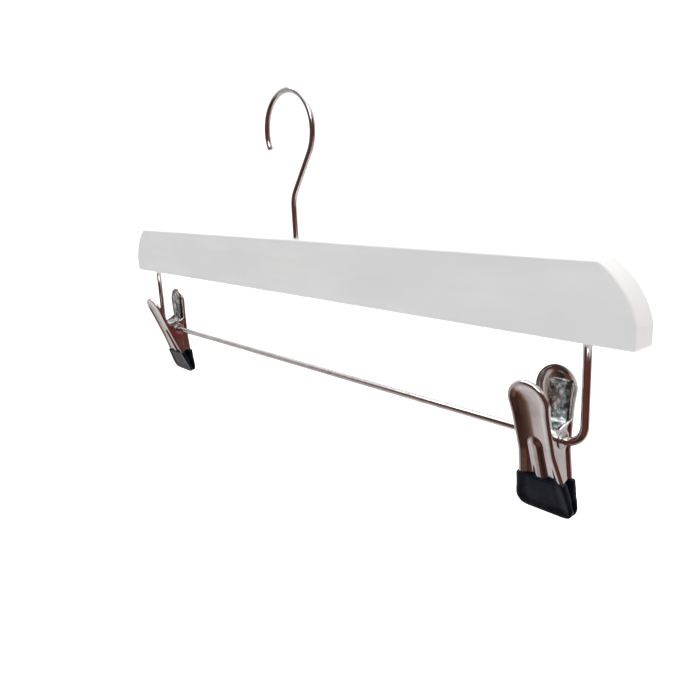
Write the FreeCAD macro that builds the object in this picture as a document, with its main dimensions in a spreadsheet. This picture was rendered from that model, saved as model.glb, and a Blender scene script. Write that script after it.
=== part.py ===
import FreeCAD, Part

# Flat wooden clip hanger: a swivelling wire hook, a wooden bar, a wire trouser rod and two sprung clips.
# Frame: +X along the bar, +Y to the rear, +Z up. The origin is at the top of the hook's inside,
# where a rail's crown touches it. Millimetres.

import math
import os
import Sketcher
from FreeCAD import Placement, Rotation, Vector

doc = FreeCAD.newDocument("clip_hanger")

# ---------------------------------------------------------------- driving dimensions
SIZES = {
    "BarLength": 406.0,  # wooden bar, end to end
    "BarHeight": 31.0,
    "BarThick": 12.0,
    "BarDrop": 76.0,  # hook's inside top down to the bar's top edge
    "EndRun": 16.0,  # the rounded shoulder: how far in it starts
    "EndFlat": 8.8,  # straight stretch of each end below the shoulder
    "EndBulge": 2.8,  # sagitta of the shoulder's arc
    "EdgeRound": 1.1,
    "CornerRound": 1.6,
    "HookWire": 3.3,
    "CrownRadius": 20.6,  # centre line of the hook's crown
    "CrownTail": 206.0,  # degrees round the crown to the free tip
    "NeckAngle": 36.0,  # lean of the hook's neck from upright
    "NeckRadius": 16.0,
    "StemGap": 0.15,  # radial clearance of the stem in the bar
    "StemHead": 6.4,  # diameter of the peened head
    "StemHeadTall": 1.4,
    "WasherOuter": 9.0,
    "WasherThick": 0.8,
    "BoreWide": 9.6,  # counterbore under the bar
    "BoreDeep": 3.4,
    "RodWire": 3.5,
    "RodSpan": 362.0,  # between the rod's two upright legs, centre to centre
    "RodDrop": 41.7,  # bar's underside down to the rod's centre
    "RodBend": 8.0,
    "RodInsert": 17.0,  # how far each leg goes up into the bar
    "NotchDepth": 0.4,
    "NotchTall": 1.4,
    "BradWire": 1.2,
    "BradLength": 10.0,
    "BradHead": 2.2,
    "BradHeadTall": 0.5,
    "BradPoint": 1.6,  # length of the nail's point
    "BradDrop": 4.0,  # the leg's top end down to the brad
    "LeftOffset": 166.0,  # each clip's middle from the hanger's middle
    "RightOffset": 162.8,
    "LeftSwing": 11.0,  # how far each clip hangs off upright, degrees
    "RightSwing": 4.7,
    "JawLean": 10.7,  # each jaw from the clip's middle plane, degrees
    "JawReach": 7.25,  # pivot centre to a jaw's outer face
    "Sheet": 0.7,  # jaw sheet thickness
    "TabTop": 28.5,  # pivot to the top of the thumb tab
    "JawFoot": 33.1,  # pivot to the jaw's steel lip
    "TabWide": 19.0,
    "WaistWide": 17.8,
    "BackWide": 17.6,  # jaw width at the pivot
    "FootWide": 25.8,
    "WaistHigh": 13.0,  # waist above the pivot
    "LipDeep": 1.6,  # folded edge round the thumb tab
    "LipFoot": 6.6,  # where that edge ends, above the pivot
    "FlangeFoot": 16.4,  # pivot down to the end of the side flanges
    "FlangeWide": 21.4,  # jaw width there
    "FlangeDeep": 3.6,  # flange depth at its foot
    "FootRound": 4.0,
    "RimWide": 2.3,  # raised rim around the thumb dish
    "DishDeep": 1.2,
    "DishWall": 0.5,  # the dish's back is this much larger all round
    "RibWide": 4.8,
    "RibTop": 1.5,  # top of the middle rib above the pivot
    "ChannelFoot": 23.0,  # pivot down to where the two channels end
    "EarHigh": 7.6,  # the ears' top above the pivot
    "EarGap": 0.1,  # between two nested ears
    "EarHole": 3.05,
    "EarLobe": 4.3,
    "EarTurn": 62.0,  # where the lobe's arc starts and ends, degrees
    "EarStraight": 0.8,  # the sides run straight this far below the lobe
    "EarShelf": 6.2,  # pivot down to the flange's nearest point to the middle plane
    "FlangeGap": 0.3,  # flange edge to the clip's middle plane
    "TubeBore": 2.3,
    "TubeOuter": 2.95,
    "TubeFlare": 3.8,
    "FlareThick": 0.4,
    "BootTop": 17.0,  # pivot down to the rubber boot's mouth
    "BootWall": 0.8,
    "BootInner": 0.5,
    "BootGap": 0.07,  # boot to the clip's middle plane
    "StepTop": 24.4,  # pivot down to the step in the boot's inner face
    "StepFoot": 26.0,
    "SpringWide": 10.0,
    "SpringThick": 0.6,
    "SpringTop": 23.2,
    "SpringHeel": 7.0,
    "SpringFloor": 4.4,
    "SpringToe": 2.6,  # how far the strip's lower bend runs towards the middle
    "SpringGap": 0.05,
    "RightSpringShift": 1.8,  # the right clip's strip sits off its middle, towards +X
}

sheet = doc.addObject("Spreadsheet::Sheet", "Sizes")
for row, (alias, value) in enumerate(SIZES.items(), start=1):
    sheet.set("A%d" % row, alias)
    sheet.set("B%d" % row, str(value))
    sheet.setAlias("B%d" % row, alias)
doc.recompute()


def size(alias):
    """A driving dimension as the sheet holds it."""
    return float(sheet.get(alias))


def bind(thing, **cells):
    """Binds properties of a document object to expressions of the sheet's cells."""
    for name, expression in cells.items():
        for alias in sorted(SIZES, key=len, reverse=True):
            expression = expression.replace("#" + alias, "Sizes." + alias)
        thing.setExpression(name, expression)


# ---------------------------------------------------------------- helpers
def plane(body, role):
    return [f for f in body.Origin.OriginFeatures if f.Role == role][0]


def new_body(label):
    body = doc.addObject("PartDesign::Body", label)
    body.Label = label
    return body


def new_sketch(body, name, role, shift=None, **offset):
    sketch = body.newObject("Sketcher::SketchObject", name)
    sketch.AttachmentSupport = [(plane(body, role), "")]
    sketch.MapMode = "FlatFace"
    if shift is not None:
        sketch.AttachmentOffset = Placement(shift, Rotation())
    if offset:
        cells = {"AttachmentOffset.Base." + axis: value for axis, value in offset.items()}
        bind(sketch, **cells)
    return sketch


def closed_outline(sketch, points, bulges=None):
    """Lines through points, with an arc of the given sagitta where bulges has one (left of travel)."""
    bulges = bulges or {}
    count = len(points)
    for i, start in enumerate(points):
        end = points[(i + 1) % count]
        a, b = Vector(start[0], start[1], 0), Vector(end[0], end[1], 0)
        sagitta = bulges.get(i, 0.0)
        if sagitta:
            chord = b - a
            left = Vector(-chord.y, chord.x, 0).normalize()
            sketch.addGeometry(Part.Arc(a, (a + b) * 0.5 + left * sagitta, b), False)
        else:
            sketch.addGeometry(Part.LineSegment(a, b), False)
    for i in range(count):
        sketch.addConstraint(Sketcher.Constraint("Coincident", i, 2, (i + 1) % count, 1))


def named(sketch, name, constraint, expression):
    """Adds a dimension to a sketch and binds it to the sheet."""
    index = sketch.addConstraint(constraint)
    sketch.renameConstraint(index, name)
    bind(sketch, **{"Constraints." + name: expression})
    return index


def pad(body, sketch, expression, midplane=False, reverse=False):
    feature = body.newObject("PartDesign::Pad", sketch.Name + "Pad")
    feature.Profile = sketch
    feature.Midplane = midplane
    feature.Reversed = reverse
    bind(feature, Length=expression)
    sketch.Visibility = False
    doc.recompute()
    return feature


def cylinder(name, radius, height, where, turn=None):
    """A Part cylinder: radius and height are expressions of the sheet's cells."""
    drum = doc.addObject("Part::Cylinder", name)
    bind(drum, Radius=radius, Height=height)
    drum.Placement = Placement(where, turn or Rotation())
    return drum


def cut(label, base, *tools):
    tool = tools[0]
    if len(tools) > 1:
        tool = doc.addObject("Part::MultiFuse", label + "_tools")
        tool.Shapes = list(tools)
    feature = doc.addObject("Part::Cut", label)
    feature.Base = base
    feature.Tool = tool
    feature.Label = label
    doc.recompute()
    return feature


def edges_where(shape, wanted):
    """Names of the edges whose bounding box passes a test."""
    return ["Edge%d" % i for i, edge in enumerate(shape.Edges, start=1) if wanted(edge.BoundBox)]


nodes = {}  # node name to document object


def keep(name, feature):
    feature.Label = name
    nodes[name] = feature
    return feature


bar_top = -size("BarDrop")
bar_foot = bar_top - size("BarHeight")
rod_level = bar_foot - size("RodDrop")
half_span = size("RodSpan") / 2
rear_face = size("BarThick") / 2


# ---------------------------------------------------------------- wooden bar
def make_bar():
    body = new_body("bar_blank")
    outline = new_sketch(body, "BarOutline", "XZ_Plane")
    half = size("BarLength") / 2
    run = half - size("EndRun")
    flat = bar_foot + size("EndFlat")
    points = [(-half, bar_foot), (half, bar_foot), (half, flat), (run, bar_top), (-run, bar_top), (-half, flat)]
    closed_outline(outline, points, {2: -size("EndBulge"), 4: -size("EndBulge")})
    named(outline, "length", Sketcher.Constraint("DistanceX", 0, 1, 0, 2, size("BarLength")), "#BarLength")
    named(outline, "flat", Sketcher.Constraint("DistanceY", 1, 1, 1, 2, size("EndFlat")), "#EndFlat")
    named(outline, "height", Sketcher.Constraint("DistanceY", 1, 1, 2, 2, size("BarHeight")), "#BarHeight")
    slab = pad(body, outline, "#BarThick", midplane=True)
    corners = body.newObject("PartDesign::Fillet", "BarCorners")
    corners.Base = (slab, edges_where(slab.Shape, lambda box: box.YLength > size("BarThick") / 2))
    bind(corners, Radius="#CornerRound")
    doc.recompute()
    softened = body.newObject("PartDesign::Fillet", "BarEdges")
    softened.Base = (corners, edges_where(corners.Shape, lambda box: box.YLength < 0.01))
    bind(softened, Radius="#EdgeRound")
    body.Tip = softened
    doc.recompute()
    stem_hole = cylinder("StemHole", "#HookWire / 2 + #StemGap", "#BarHeight + 2", Vector(0, 0, bar_foot - 1))
    counterbore = cylinder("Counterbore", "#BoreWide / 2", "#BoreDeep + 1", Vector(0, 0, bar_foot - 1))
    holes = [stem_hole, counterbore]
    for side, name in ((-1, "Left"), (1, "Right")):
        foot = Vector(side * half_span, 0, bar_foot - 1)
        holes.append(cylinder(name + "LegHole", "#RodWire / 2", "#RodInsert + 1.5", foot))
        tack = brad_place(side)
        holes.append(cylinder(name + "BradHole", "#BradWire / 2", "#BradLength", tack.Base, tack.Rotation))
        holes.append(cylinder(name + "BradSink", "#BradHead / 2", "#BradHeadTall", tack.Base, tack.Rotation))
    keep("wooden_bar", cut("wooden_bar", body, *holes))


def brad_place(side):
    """A brad's place: head flush with the rear face, shank going forward past the leg's notch."""
    level = bar_foot + size("RodInsert") - size("BradDrop")
    reach = size("RodWire") / 2 - size("NotchDepth") + size("BradWire") / 2
    return Placement(Vector(side * (half_span - reach), rear_face, level), Rotation(Vector(1, 0, 0), 90))


# ---------------------------------------------------------------- hook
def make_hook():
    lean = math.radians(size("NeckAngle"))
    crown, neck = size("CrownRadius"), size("NeckRadius")
    centre = size("HookWire") / 2 - crown
    join = Vector(crown * math.cos(lean), centre - crown * math.sin(lean), 0)
    bend_x = neck * (1 - math.cos(lean))
    slope = (join.x - bend_x) / math.sin(lean)
    bend_top = Vector(bend_x, join.y - slope * math.cos(lean), 0)
    bend_low = Vector(0, bend_top.y - neck * math.sin(lean), 0)
    foot = Vector(0, bar_foot + size("BoreDeep") - size("WasherThick"), 0)
    middle = math.radians(size("NeckAngle")) / 2
    bend_mid = Vector(neck * (1 - math.cos(middle)), bend_low.y + neck * math.sin(middle), 0)
    tail = math.radians(size("CrownTail"))
    halfway = (tail - lean) / 2
    over = Vector(crown * math.cos(halfway), centre + crown * math.sin(halfway), 0)
    tip = Vector(crown * math.cos(tail), centre + crown * math.sin(tail), 0)

    body = new_body("hook_body")
    path = new_sketch(body, "HookPath", "XZ_Plane")
    path.addGeometry(Part.LineSegment(foot, bend_low), False)
    path.addGeometry(Part.Arc(bend_low, bend_mid, bend_top), False)
    path.addGeometry(Part.LineSegment(bend_top, join), False)
    path.addGeometry(Part.Arc(join, over, tip), False)
    for ends in ((0, 2, 1, 2), (1, 1, 2, 1), (2, 2, 3, 1)):
        path.addConstraint(Sketcher.Constraint("Coincident", *ends))
    wire = new_sketch(body, "HookWireSection", "XY_Plane", Vector(0, 0, foot.y))
    wire.addGeometry(Part.Circle(Vector(0, 0, 0), Vector(0, 0, 1), size("HookWire") / 2), False)
    wire.addConstraint(Sketcher.Constraint("Coincident", 0, 3, -1, 1))
    named(wire, "wire", Sketcher.Constraint("Diameter", 0, size("HookWire")), "#HookWire")
    sweep = body.newObject("PartDesign::AdditivePipe", "HookSweep")
    sweep.Profile = wire
    sweep.Spine = (path, ["Edge1", "Edge2", "Edge3", "Edge4"])
    doc.recompute()
    head = new_sketch(body, "HeadSection", "XY_Plane", Vector(0, 0, foot.y))
    head.addGeometry(Part.Circle(Vector(0, 0, 0), Vector(0, 0, 1), size("StemHead") / 2), False)
    head.addConstraint(Sketcher.Constraint("Coincident", 0, 3, -1, 1))
    named(head, "head", Sketcher.Constraint("Diameter", 0, size("StemHead")), "#StemHead")
    head_pad = pad(body, head, "#StemHeadTall", reverse=True)
    rounded = body.newObject("PartDesign::Fillet", "HeadAndTip")
    rounded.Base = (head_pad, end_rims(head_pad.Shape, foot.y - size("StemHeadTall"), tip))
    bind(rounded, Radius="#HookWire * 0.3")
    body.Tip = rounded
    doc.recompute()
    keep("hook", body)


def end_rims(shape, head_level, tip):
    """Names of the circular edges at the peened head's underside and at the hook's free tip."""
    names = []
    for i, edge in enumerate(shape.Edges, start=1):
        if not isinstance(edge.Curve, Part.Circle):
            continue
        middle = edge.Curve.Center
        at_head = abs(middle.z - head_level) < 0.01
        at_tip = (middle - Vector(tip.x, 0, tip.y)).Length < 0.01
        if (at_head or at_tip) and edge.Curve.Radius < size("StemHead"):
            names.append("Edge%d" % i)
    return names


def make_washer():
    body = new_body("hook_washer")
    level = bar_foot + size("BoreDeep") - size("WasherThick")
    ring = new_sketch(body, "WasherRing", "XY_Plane", Vector(0, 0, level))
    for radius in (size("WasherOuter") / 2, size("HookWire") / 2 + size("StemGap")):
        ring.addGeometry(Part.Circle(Vector(0, 0, 0), Vector(0, 0, 1), radius), False)
    for i in (0, 1):
        ring.addConstraint(Sketcher.Constraint("Coincident", i, 3, -1, 1))
    named(ring, "outer", Sketcher.Constraint("Diameter", 0, size("WasherOuter")), "#WasherOuter")
    named(ring, "inner", Sketcher.Constraint("Radius", 1, 1.75), "#HookWire / 2 + #StemGap")
    pad(body, ring, "#WasherThick")
    keep("hook_washer", body)


# ---------------------------------------------------------------- trouser rod and its brads
def make_rod():
    bend = size("RodBend")
    top = bar_foot + size("RodInsert")
    body = new_body("rod_wire")
    path = new_sketch(body, "RodPath", "XZ_Plane")
    lift = bend * (1 - math.sqrt(0.5))
    corners = (
        (Vector(-half_span, rod_level + bend, 0), Vector(-half_span + lift, rod_level + lift, 0),
         Vector(-half_span + bend, rod_level, 0)),
        (Vector(half_span - bend, rod_level, 0), Vector(half_span - lift, rod_level + lift, 0),
         Vector(half_span, rod_level + bend, 0)),
    )
    path.addGeometry(Part.LineSegment(Vector(-half_span, top, 0), corners[0][0]), False)
    path.addGeometry(Part.Arc(*corners[0]), False)
    path.addGeometry(Part.LineSegment(corners[0][2], corners[1][0]), False)
    path.addGeometry(Part.Arc(*corners[1]), False)
    path.addGeometry(Part.LineSegment(corners[1][2], Vector(half_span, top, 0)), False)
    wire = new_sketch(body, "RodWireSection", "XY_Plane", Vector(-half_span, 0, top))
    wire.addGeometry(Part.Circle(Vector(0, 0, 0), Vector(0, 0, 1), size("RodWire") / 2), False)
    wire.addConstraint(Sketcher.Constraint("Coincident", 0, 3, -1, 1))
    named(wire, "wire", Sketcher.Constraint("Diameter", 0, size("RodWire")), "#RodWire")
    sweep = body.newObject("PartDesign::AdditivePipe", "RodSweep")
    sweep.Profile = wire
    sweep.Spine = (path, ["Edge%d" % i for i in range(1, 6)])
    doc.recompute()
    notches = []
    level = bar_foot + size("RodInsert") - size("BradDrop")
    for side, name in ((-1, "Left"), (1, "Right")):
        foot = Vector(side * half_span, 0, level - size("NotchTall") / 2)
        outer = cylinder(name + "NotchOuter", "#RodWire / 2 + 1", "#NotchTall", foot)
        core = cylinder(name + "NotchCore", "#RodWire / 2 - #NotchDepth", "#NotchTall", foot)
        notches.append(cut(name + "Notch", outer, core))
    keep("trouser_rod", cut("trouser_rod", body, *notches))


def make_brad(name, side):
    """A small nail: its outline turned about its own axis, the head at the local origin."""
    body = new_body(name)
    outline = new_sketch(body, name + "Outline", "XZ_Plane")
    head, shank = size("BradHead") / 2, size("BradWire") / 2
    tall, length = size("BradHeadTall"), size("BradLength")
    points = [(0, 0), (head, 0), (head, tall), (shank, tall), (shank, length - size("BradPoint")), (0, length)]
    closed_outline(outline, points)
    turned = body.newObject("PartDesign::Revolution", name + "Turned")
    turned.Profile = outline
    turned.ReferenceAxis = (outline, ["V_Axis"])
    turned.Angle = 360
    doc.recompute()
    body.Placement = brad_place(side)
    keep(name, body)


# ---------------------------------------------------------------- clips
def jaw_edge():
    """Right-hand edge of a jaw from the tab's shoulder down, seen from the front: (x, z) pairs."""
    return [
        (size("TabWide") / 2, size("TabTop") - size("TabWide") / 2),
        (size("WaistWide") / 2, size("WaistHigh")),
        (size("BackWide") / 2, size("EarHigh")),
        (size("BackWide") / 2, -size("EarLobe") - size("EarStraight")),
        (size("FlangeWide") / 2, -size("FlangeFoot")),
        (size("FootWide") / 2, -size("JawFoot") + size("FootRound")),
    ]


def jaw_outline(sketch, grow=0.0, top=None):
    """The jaw's front outline, grown by a margin; top cuts it off level instead of with the round tab."""
    edge = [(x + grow, z) for x, z in jaw_edge()]
    corner = size("FootRound") + grow
    foot = edge[-1][1] - corner
    slack = corner * (1 - math.sqrt(0.5))
    if top is not None:
        above = [p for p in edge if p[1] > top][-1]
        below = [p for p in edge if p[1] <= top]
        share = (above[1] - top) / (above[1] - below[0][1])
        edge = [(above[0] + share * (below[0][0] - above[0]), top)] + below
    left = [(-x, z) for x, z in edge]
    pieces = []
    if top is None:
        crown = Vector(0, edge[0][1] + edge[0][0], 0)
        pieces.append(Part.Arc(Vector(*edge[0], 0), crown, Vector(*left[0], 0)))
    else:
        pieces.append(Part.LineSegment(Vector(*edge[0], 0), Vector(*left[0], 0)))
    for a, b in zip(left, left[1:]):
        pieces.append(Part.LineSegment(Vector(*a, 0), Vector(*b, 0)))
    side, level = left[-1]
    pieces.append(Part.Arc(
        Vector(side, level, 0), Vector(side + slack, foot + slack, 0), Vector(side + corner, foot, 0)))
    pieces.append(Part.LineSegment(Vector(side + corner, foot, 0), Vector(-side - corner, foot, 0)))
    pieces.append(Part.Arc(
        Vector(-side - corner, foot, 0), Vector(-side - slack, foot + slack, 0), Vector(-side, level, 0)))
    for a, b in zip(edge[::-1], edge[::-1][1:]):
        pieces.append(Part.LineSegment(Vector(*a, 0), Vector(*b, 0)))
    for piece in pieces:
        sketch.addGeometry(piece, False)


def dish_outline(sketch, grow=0.0):
    """The thumb dish with its two channels either side of the middle rib, as one closed outline."""
    rim, rib = size("RimWide") - grow, size("RibWide") / 2 - grow
    edge = [(x - rim, z) for x, z in jaw_edge()[:5]]
    foot = -size("ChannelFoot") - grow
    share = (foot - edge[4][1]) / (jaw_edge()[5][1] - edge[4][1])
    outer = edge + [(edge[4][0] + share * (size("FootWide") / 2 - rim - edge[4][0]), foot)]
    rib_top = size("RibTop") - grow - rib
    crown = Vector(0, edge[0][1] + edge[0][0], 0)
    left = [(-x, z) for x, z in outer]
    pieces = [Part.Arc(Vector(*outer[0], 0), crown, Vector(*left[0], 0))]
    path = left + [(-rib, foot), (-rib, rib_top)]
    pieces += [Part.LineSegment(Vector(*a, 0), Vector(*b, 0)) for a, b in zip(path, path[1:])]
    pieces.append(Part.Arc(Vector(-rib, rib_top, 0), Vector(0, rib_top + rib, 0), Vector(rib, rib_top, 0)))
    path = [(rib, rib_top), (rib, foot)] + outer[::-1]
    pieces += [Part.LineSegment(Vector(*a, 0), Vector(*b, 0)) for a, b in zip(path, path[1:])]
    for piece in pieces:
        sketch.addGeometry(piece, False)


def flange_plan(sketch):
    """Both side flanges seen from the front: the right one is the outer, the left one nests inside."""
    wide, low = size("BackWide") / 2, size("FlangeWide") / 2
    for turn, inset in ((1, 0.0), (-1, size("Sheet") + size("EarGap"))):
        straight = -size("EarLobe") - size("EarStraight")
        outer = [(wide - inset, size("EarHigh")), (wide - inset, straight), (low - inset, -size("FlangeFoot"))]
        inner = [(x - size("Sheet"), z) for x, z in outer[::-1]]
        first = len(sketch.Geometry)
        points = [(turn * x, z) for x, z in outer + inner]
        for i, start in enumerate(points):
            end = points[(i + 1) % len(points)]
            sketch.addGeometry(Part.LineSegment(Vector(*start, 0), Vector(*end, 0)), False)
        for i in range(len(points)):
            follow = first + (i + 1) % len(points)
            sketch.addConstraint(Sketcher.Constraint("Coincident", first + i, 2, follow, 1))


def ear_profile(sketch):
    """A flange seen from the side, in (y, z): down from the ear's top, round the pivot's lobe."""
    lean = math.radians(size("JawLean"))
    lobe = size("EarLobe")
    back = -size("JawReach")
    top_angle = math.radians(size("EarTurn"))
    low_angle = top_angle - lean - math.pi / 2
    top = Vector(lobe * math.cos(top_angle), lobe * math.sin(top_angle), 0)
    low = Vector(lobe * math.cos(low_angle), lobe * math.sin(low_angle), 0)
    shelf = -size("EarShelf")
    neck = Vector(shelf * math.tan(lean) - size("FlangeGap"), shelf, 0)
    foot = Vector(back + size("FlangeDeep"), -size("FlangeFoot"), 0)
    brow = Vector(back + size("LipDeep"), size("EarHigh"), 0)
    pieces = [
        Part.LineSegment(Vector(back, size("EarHigh"), 0), brow),
        Part.LineSegment(brow, top),
        Part.Arc(top, Vector(lobe, 0, 0), low),
        Part.LineSegment(low, neck),
        Part.LineSegment(neck, foot),
        Part.LineSegment(foot, Vector(back, -size("FlangeFoot"), 0)),
        Part.LineSegment(Vector(back, -size("FlangeFoot"), 0), Vector(back, size("EarHigh"), 0)),
    ]
    for piece in pieces:
        sketch.addGeometry(piece, False)


def lip_plan(sketch):
    """The folded edge round the thumb tab seen from the front, down to just inside the ears."""
    inset = size("Sheet")
    edge = [(size("BackWide") / 2, size("LipFoot")), (size("BackWide") / 2, size("EarHigh"))]
    edge += jaw_edge()[:2][::-1]
    shoulder, level = edge[-1]
    outer_crown = Vector(0, level + shoulder, 0)
    inner_crown = Vector(0, level + shoulder - inset, 0)
    inner = [(x - inset, z) for x, z in edge]
    pieces = [
        Part.Arc(Vector(shoulder, level, 0), outer_crown, Vector(-shoulder, level, 0)),
        Part.Arc(Vector(shoulder - inset, level, 0), inner_crown, Vector(inset - shoulder, level, 0)),
    ]
    for turn in (1, -1):
        path = [(turn * x, z) for x, z in edge[::-1] + inner]
        pieces += [Part.LineSegment(Vector(*a, 0), Vector(*b, 0)) for a, b in zip(path, path[1:])]
    for piece in pieces:
        sketch.addGeometry(piece, False)


def pressed_plate(body, name):
    """The jaw's flat sheet with the back of its pressed dish."""
    outline = new_sketch(body, name + "Outline", "XZ_Plane", z="#JawReach - #Sheet")
    jaw_outline(outline)
    pad(body, outline, "#Sheet")
    bulge = new_sketch(body, name + "DishBack", "XZ_Plane", z="#JawReach - #Sheet - #DishDeep")
    dish_outline(bulge, size("DishWall"))
    pad(body, bulge, "#DishDeep")


def make_jaw(name, place):
    plate = new_body(name + "_plate")
    pressed_plate(plate, name)
    lip = new_sketch(plate, name + "Lip", "XZ_Plane", z="#JawReach - #LipDeep")
    lip_plan(lip)
    pad(plate, lip, "#LipDeep")
    hollow = new_sketch(plate, name + "Dish", "XZ_Plane", z="#JawReach")
    dish_outline(hollow)
    dish = plate.newObject("PartDesign::Pocket", name + "DishPocket")
    dish.Profile = hollow
    bind(dish, Length="#DishDeep")
    plate.Tip = dish
    flanges = new_body(name + "_flanges")
    plan = new_sketch(flanges, name + "FlangePlan", "XZ_Plane", z="-#EarLobe - 1")
    flange_plan(plan)
    pad(flanges, plan, "#JawReach + #EarLobe + 1")
    side = new_body(name + "_side")
    profile = new_sketch(side, name + "EarProfile", "YZ_Plane")
    ear_profile(profile)
    pad(side, profile, "#FlangeWide + 2", midplane=True)
    ears = doc.addObject("Part::Common", name + "_ears")
    ears.Base, ears.Tool = flanges, side
    whole = doc.addObject("Part::Fuse", name + "_whole")
    whole.Base, whole.Tool = plate, ears
    hole = cylinder(name + "EarHole", "#EarHole", "#FlangeWide + 2",
                    Vector(-size("FlangeWide") / 2 - 1, 0, 0), Rotation(Vector(0, 1, 0), 90))
    jaw = cut(name, whole, hole)
    jaw.Placement = place
    return keep(name, jaw)


def make_tip(name, place):
    """Rubber boot over a jaw's foot: a front outline and a side profile meet, less the steel inside."""
    lean = math.radians(size("JawLean"))
    front = new_body(name + "_front")
    outline = new_sketch(front, name + "Outline", "XZ_Plane")
    jaw_outline(outline, size("BootWall"), -size("BootTop"))
    pad(front, outline, "#JawReach + 2")
    side = new_body(name + "_side")
    profile = new_sketch(side, name + "Profile", "YZ_Plane")
    outer = -size("JawReach") - size("BootWall")
    inner = -size("JawReach") + size("Sheet") + size("BootInner")
    deep = inner + size("DishDeep")
    foot = -size("JawFoot") - size("BootWall")
    gap = size("BootGap")
    closed_outline(profile, [
        (outer, -size("BootTop")), (outer, foot), (foot * math.tan(lean) - gap, foot),
        (inner, (inner + gap) / math.tan(lean)), (inner, -size("StepFoot")),
        (deep, -size("StepTop")), (deep, -size("BootTop")),
    ])
    pad(side, profile, "#FootWide + 6", midplane=True)
    block = doc.addObject("Part::Common", name + "_block")
    block.Base, block.Tool = front, side
    steel = new_body(name + "_steel")
    pressed_plate(steel, name + "Steel")
    boot = cut(name, block, steel)
    boot.Placement = place
    return keep(name, boot)


def make_tube(name, place):
    body = new_body(name)
    section = new_sketch(body, name + "Section", "XZ_Plane")
    bore, outer, flare = size("TubeBore"), size("TubeOuter"), size("TubeFlare")
    shoulder = size("BackWide") / 2 + size("EarGap")
    end = shoulder + size("FlareThick")
    closed_outline(section, [
        (-end, bore), (end, bore), (end, flare), (shoulder, flare), (shoulder, outer),
        (-shoulder, outer), (-shoulder, flare), (-end, flare),
    ])
    turned = body.newObject("PartDesign::Revolution", name + "Turned")
    turned.Profile = section
    turned.ReferenceAxis = (section, ["H_Axis"])
    turned.Angle = 360
    doc.recompute()
    body.Placement = place
    return keep(name, body)


def make_spring(name, place, shift):
    """A flat strip bent to an open U, its legs lying inside the two thumb tabs."""
    lean = Rotation(Vector(1, 0, 0), size("JawLean"))
    face = -size("JawReach") + size("Sheet") + size("DishDeep") + size("SpringGap")
    thick = size("SpringThick")
    floor = size("SpringFloor")

    def lay(y, z):
        spot = lean.multVec(Vector(0, y, z))
        return spot.y, spot.z

    tip_out, tip_in = lay(face, size("SpringTop")), lay(face + thick, size("SpringTop"))
    heel_out = lay(face, size("SpringHeel"))
    heel_in = lay(face + thick, size("SpringHeel") + thick * 2 / 3)
    toe = heel_out[0] + size("SpringToe")
    toe_out, toe_in = (toe, floor), (toe + thick, floor + thick)
    right = [toe_out, heel_out, tip_out, tip_in, heel_in, toe_in]
    mirrored = [(-y, z) for y, z in right[::-1]]
    body = new_body(name)
    strip = new_sketch(body, name + "Strip", "YZ_Plane")
    closed_outline(strip, right + mirrored)
    pad(body, strip, "#SpringWide", midplane=True)
    body.Placement = place.multiply(Placement(Vector(shift, 0, 0), Rotation()))
    return keep(name, body)


def make_clip(prefix, offset, swing, spring_shift):
    place = Placement(Vector(offset, 0, rod_level), Rotation(Vector(1, 0, 0), swing))
    front = place.multiply(Placement(Vector(), Rotation(Vector(1, 0, 0), size("JawLean"))))
    about = place.multiply(Placement(Vector(), Rotation(Vector(0, 0, 1), 180)))
    rear = about.multiply(Placement(Vector(), Rotation(Vector(1, 0, 0), size("JawLean"))))
    make_tube(prefix + "_pivot_tube", place)
    make_jaw(prefix + "_front_jaw", front)
    make_jaw(prefix + "_rear_jaw", rear)
    make_tip(prefix + "_front_tip", front)
    make_tip(prefix + "_rear_tip", rear)
    make_spring(prefix + "_spring", place, spring_shift)


# ---------------------------------------------------------------- build, check and write
make_bar()
make_hook()
make_washer()
make_rod()
make_brad("rod_brad_left", -1)
make_brad("rod_brad_right", 1)
make_clip("left", -size("LeftOffset"), size("LeftSwing"), 0.0)
make_clip("right", size("RightOffset"), size("RightSwing"), size("RightSpringShift"))
doc.recompute()

for thing in doc.Objects:
    if "Invalid" in thing.State or "Error" in thing.State:
        raise RuntimeError("%s is in state %s" % (thing.Label, thing.State))

os.makedirs("parts", exist_ok=True)
for name, feature in nodes.items():
    shape = feature.Shape
    if shape.isNull() or not shape.isValid() or len(shape.Solids) != 1:
        raise RuntimeError("%s has a bad shape with %d solids" % (name, len(shape.Solids)))
    box = shape.BoundBox
    print("%-18s %7.2f mm3  x %.1f..%.1f  y %.1f..%.1f  z %.1f..%.1f" % (
        name, shape.Volume, box.XMin, box.XMax, box.YMin, box.YMax, box.ZMin, box.ZMax))
    shape.exportStep("parts/%s.step" % name)
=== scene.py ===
import bpy
import bmesh
import math
from mathutils import Matrix, Vector


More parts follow.
